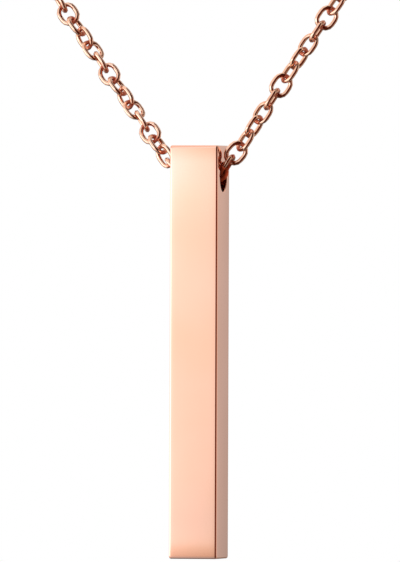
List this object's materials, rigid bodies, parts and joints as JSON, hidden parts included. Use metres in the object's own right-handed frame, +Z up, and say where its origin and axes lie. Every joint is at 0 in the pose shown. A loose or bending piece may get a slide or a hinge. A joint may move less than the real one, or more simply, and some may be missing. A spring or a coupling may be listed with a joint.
{
  "type": "bar necklace",
  "caption": "Square metal bar pendant hanging from a closed loop of fine cable chain that runs through a cross hole near its top, with a plain barrel clasp at the nape.",
  "frame": {"origin": "the point at the nape where the clasp's inner surface rests on the neck", "axes": "+Z up as worn, -Y towards the wearer's front, +X to the right as seen from the front"},
  "size_m": [0.1172, 0.1048, 0.1437],
  "materials": {
    "bar_metal": "polished rose gold",
    "chain_metal": "polished rose gold wire",
    "clasp_metal": "polished rose gold"
  },
  "bodies": {
    "chain": {"chain_left": "chain_metal", "chain_right": "chain_metal", "clasp": "clasp_metal"},
    "bar": {"bar": "bar_metal"}
  },
  "joints": [
    {"name": "bar_swing", "type": "hinge", "parent": "chain", "child": "bar", "pos_m": [0.00006, -0.09931, -0.10336], "axis": [1, 0, 0], "range_deg": [-90, 90]}
  ]
}
